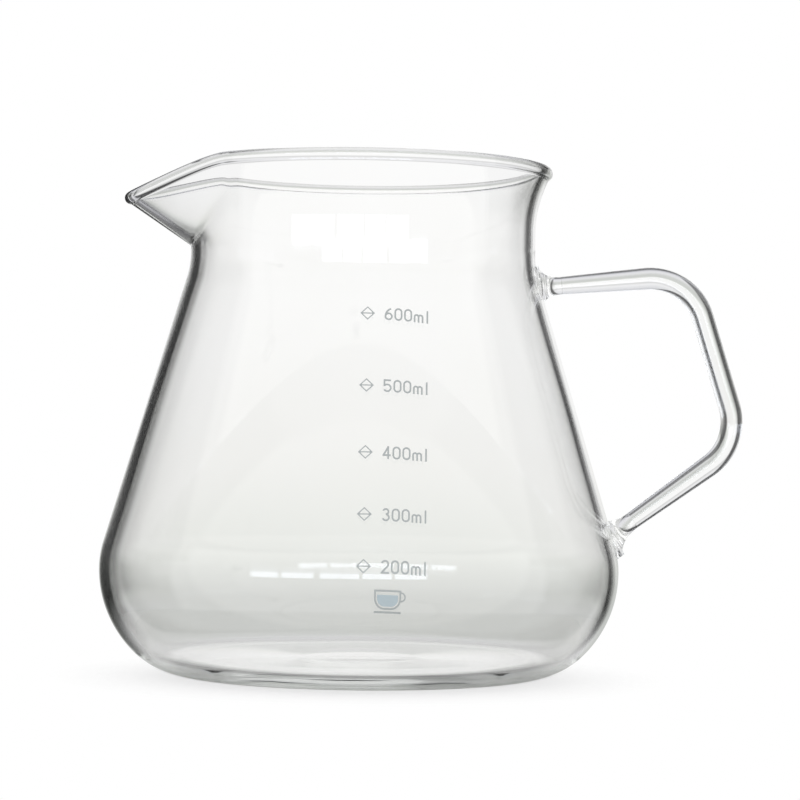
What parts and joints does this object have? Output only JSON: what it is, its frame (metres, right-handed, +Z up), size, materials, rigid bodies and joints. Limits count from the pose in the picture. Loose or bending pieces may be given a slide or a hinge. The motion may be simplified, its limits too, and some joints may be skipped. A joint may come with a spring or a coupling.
{
  "type": "coffee server carafe",
  "caption": "Blown glass coffee server with a pulled pouring lip, a bent glass rod handle fused to the wall, and a printed millilitre scale",
  "frame": {"origin": "centre of the flat foot, on the surface that the carafe stands on", "axes": "+Z up along the vessel's axis, +X towards the handle, -X towards the spout, -Y towards the printed scale"},
  "size_m": [0.146, 0.1178, 0.1158],
  "materials": {
    "clear_glass": "clear blown borosilicate glass, fire polished",
    "rod_glass": "clear drawn borosilicate rod",
    "grey_enamel": "fired grey enamel",
    "blue_enamel": "fired blue-grey enamel"
  },
  "bodies": {
    "root": {"body": "clear_glass", "handle": "rod_glass", "top_weld": "clear_glass", "low_weld": "clear_glass", "tick_600": "grey_enamel", "tick_500": "grey_enamel", "tick_400": "grey_enamel", "tick_300": "grey_enamel", "tick_200": "grey_enamel", "figures_600": "grey_enamel", "figures_500": "grey_enamel", "figures_400": "grey_enamel", "figures_300": "grey_enamel", "figures_200": "grey_enamel", "cup_outline": "grey_enamel", "cup_fill": "blue_enamel"}
  },
  "joints": []
}
